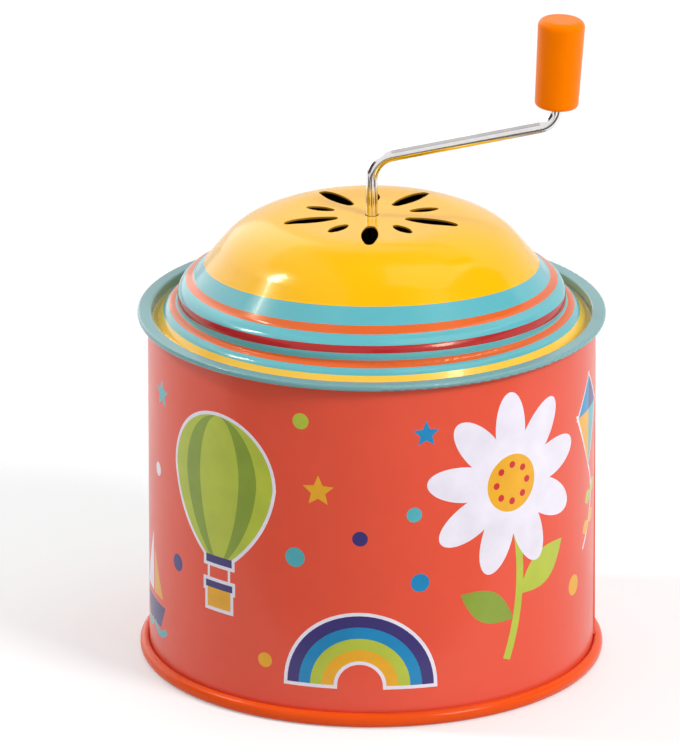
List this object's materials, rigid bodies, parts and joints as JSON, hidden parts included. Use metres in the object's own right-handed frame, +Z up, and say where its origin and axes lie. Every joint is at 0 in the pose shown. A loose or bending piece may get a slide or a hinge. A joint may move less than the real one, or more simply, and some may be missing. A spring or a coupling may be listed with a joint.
{
  "type": "hand-crank music box",
  "caption": "Tin can music box with a domed striped lid, petal sound holes and a wire crank with a knob that turns a pinned drum and comb movement inside.",
  "frame": {"origin": "on the crank's axis, in the plane that the foot seam rests on", "axes": "+Z up along the crank's axis, +X towards the knob at rest, -Y the side that the picture shows"},
  "size_m": [0.0784, 0.0784, 0.1112],
  "materials": {
    "printed_tin": "gloss lacquer print on tinplate",
    "striped_tin": "gloss lacquer in rings of yellow, turquoise, orange and red",
    "orange_tin": "gloss lacquer on tinplate",
    "cast_zinc": "as cast, lightly plated",
    "steel": "zinc plated",
    "comb_steel": "ground spring steel",
    "lead": "dull soldered lead",
    "brass": "turned",
    "nylon": "natural moulded",
    "chrome_wire": "bright plated",
    "orange_plastic": "moulded, soft gloss"
  },
  "bodies": {
    "case": {"can_wall": "printed_tin", "lid": "striped_tin", "base_plate": "orange_tin", "bedplate": "cast_zinc", "movement_screws": "steel", "comb": "comb_steel", "comb_screws": "steel", "bass_weights": "lead", "drum_arbor": "steel", "arbor_clips": "steel", "thrust_washer": "steel", "worm_strap": "steel", "strap_screws": "steel"},
    "crank": {"crank": "chrome_wire", "worm": "brass"},
    "knob": {"crank_knob": "orange_plastic"},
    "drum": {"drum": "brass", "drum_pins": "steel", "drum_gear": "nylon", "drum_end_cap": "nylon"}
  },
  "joints": [
    {"name": "crank_spin", "type": "hinge", "parent": "case", "child": "crank", "pos_m": [0, 0, 0.07686], "axis": [0, 0, 1], "continuous": true},
    {"name": "knob_spin", "type": "hinge", "parent": "crank", "child": "knob", "pos_m": [0.03067, 0, 0.09585], "axis": [0.0541, 0, 0.9985], "continuous": true},
    {"name": "drum_spin", "type": "hinge", "parent": "case", "child": "drum", "pos_m": [0, -0.009, 0.015], "axis": [1, 0, 0], "continuous": true}
  ],
  "couplings": [
    {"joint": "drum_spin", "follows": "crank_spin", "ratio": -0.0625}
  ]
}
